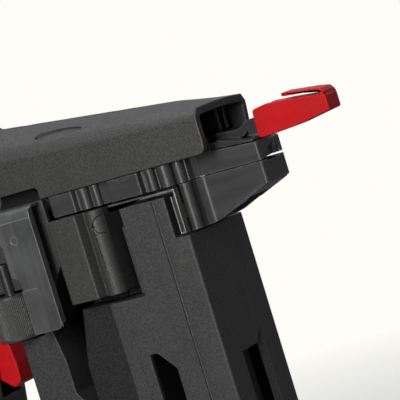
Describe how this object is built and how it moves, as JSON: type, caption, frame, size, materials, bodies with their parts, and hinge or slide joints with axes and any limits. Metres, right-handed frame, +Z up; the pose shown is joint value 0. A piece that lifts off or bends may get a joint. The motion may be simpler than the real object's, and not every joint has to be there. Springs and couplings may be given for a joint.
{
  "type": "staple gun",
  "caption": "Cordless pistol-grip staple gun with a covered nose, red quick-release latch lever, magazine below the nose, depth wheel, trigger, belt hook and slide-on battery.",
  "frame": {"origin": "middle of the tool's box on the surface it stands on", "axes": "+X forward out of the nose, +Z up, Y across"},
  "size_m": [0.286, 0.076, 0.293],
  "materials": {
    "cover_plastic": "fine-grained moulded plastic",
    "nose_cast": "satin black coated casting",
    "bright_strip": "bright spring steel",
    "arm_black": "black coated steel",
    "red_plastic": "satin red moulded plastic",
    "steel": "ground steel",
    "black_screw": "black oxide",
    "tower_plastic": "fine-grained moulded plastic",
    "inner_black": "plain moulded plastic",
    "rubber_black": "soft rubber",
    "shade_plastic": "plain dark moulded plastic",
    "dark_steel": "dark satin steel with bright cut edges",
    "wheel_black": "knurled plastic",
    "housing_plastic": "textured moulded plastic",
    "cast_alloy": "cast alloy",
    "bumper_rubber": "firm rubber",
    "motor_dark": "black can",
    "battery_plastic": "textured moulded plastic",
    "brass_contact": "plated contacts",
    "board_green": "solder resist"
  },
  "bodies": {
    "housing": {"top_cover": "cover_plastic", "upper_nose_frame": "nose_cast", "latch_arm": "arm_black", "arm_screws": "black_screw", "trip_spring": "steel", "magazine_body": "tower_plastic", "staple_rail": "shade_plastic", "pusher_spring": "steel", "magazine_foot": "rubber_black", "magazine_rear_cover": "shade_plastic", "left_side_cover": "cover_plastic", "right_side_cover": "cover_plastic", "side_cover_plugs": "cover_plastic", "depth_bracket": "dark_steel", "depth_screw": "black_screw", "bracket_screws": "dark_steel", "left_housing": "housing_plastic", "right_housing": "housing_plastic", "grip_sleeve": "rubber_black", "rear_bumper": "rubber_black", "trigger_spring": "steel", "trigger_switch": "inner_black", "drive_frame": "arm_black", "drive_cylinder": "cast_alloy", "cylinder_cap": "cast_alloy", "driver_bumper": "bumper_rubber", "lifter_bearings": "steel", "motor": "motor_dark", "control_board": "board_green", "belt_hook": "dark_steel", "hook_screw": "black_screw", "housing_screws": "black_screw"},
    "nose": {"upper_nose_block": "nose_cast", "lower_nose_plate": "nose_cast", "nose_screws": "black_screw", "trip_arm": "bright_strip"},
    "latch": {"latch_lever": "red_plastic", "latch_pin": "steel"},
    "pusher": {"pusher": "inner_black", "pusher_knob": "red_plastic"},
    "depth_wheel": {"depth_wheel": "wheel_black"},
    "trigger": {"trigger": "red_plastic"},
    "lock_button": {"lock_button": "red_plastic"},
    "lifter": {"lifter_wheel": "steel", "lifter_shaft": "steel", "lifter_gear": "steel"},
    "driver": {"driver_blade": "steel", "piston": "steel"},
    "motor_rotor": {"motor_pinion": "steel"},
    "battery": {"battery_case": "battery_plastic", "battery_lid": "housing_plastic", "battery_terminals": "brass_contact"},
    "battery_button_left": {"battery_button_left": "red_plastic"},
    "battery_button_right": {"battery_button_right": "red_plastic"}
  },
  "joints": [
    {"name": "nose_slide", "type": "slide", "parent": "housing", "child": "nose", "axis": [-1, 0, 0], "range_m": [0, 0.0028], "stiffness_N_per_m": 2000, "springref_m": -0.004, "deforming": ["trip_spring"]},
    {"name": "latch_pivot", "type": "hinge", "parent": "housing", "child": "latch", "pos_m": [0.113, 0, 0.25], "axis": [0, -1, 0], "range_deg": [0, 90]},
    {"name": "pusher_slide", "type": "slide", "parent": "housing", "child": "pusher", "axis": [0, 0, -1], "range_m": [0, 0.14], "stiffness_N_per_m": 15, "springref_m": -0.12},
    {"name": "depth_wheel_spin", "type": "hinge", "parent": "housing", "child": "depth_wheel", "pos_m": [-0.0275, -0.0225, 0.197], "axis": [0, 0, 1], "continuous": true},
    {"name": "trigger_pull", "type": "slide", "parent": "housing", "child": "trigger", "axis": [-1, 0, 0], "range_m": [0, 0.005], "stiffness_N_per_m": 800, "springref_m": -0.002, "deforming": ["trigger_spring"]},
    {"name": "lock_button_push", "type": "slide", "parent": "housing", "child": "lock_button", "axis": [0, 1, 0], "range_m": [0, 0.003]},
    {"name": "lifter_spin", "type": "hinge", "parent": "housing", "child": "lifter", "pos_m": [-0.0325, 0, 0.2498], "axis": [0, -1, 0], "range_deg": [0, 315.2]},
    {"name": "driver_slide", "type": "slide", "parent": "housing", "child": "driver", "axis": [1, 0, 0], "range_m": [0, 0.066]},
    {"name": "motor_spin", "type": "hinge", "parent": "housing", "child": "motor_rotor", "pos_m": [-0.05482, 0, 0.265], "axis": [0, -1, 0], "range_deg": [-394, 0]},
    {"name": "battery_slide", "type": "slide", "parent": "housing", "child": "battery", "axis": [-1, 0, 0], "range_m": [0, 0.09]},
    {"name": "battery_button_left_push", "type": "slide", "parent": "battery", "child": "battery_button_left", "axis": [0, 1, 0], "range_m": [0, 0.0025], "stiffness_N_per_m": 400, "springref_m": -0.001},
    {"name": "battery_button_right_push", "type": "slide", "parent": "battery", "child": "battery_button_right", "axis": [0, -1, 0], "range_m": [0, 0.0025], "stiffness_N_per_m": 400, "springref_m": -0.001}
  ],
  "couplings": [
    {"joint": "lifter_spin", "follows": "driver_slide", "rad_per_m": 83.333},
    {"joint": "motor_spin", "follows": "driver_slide", "rad_per_m": -104.17}
  ]
}
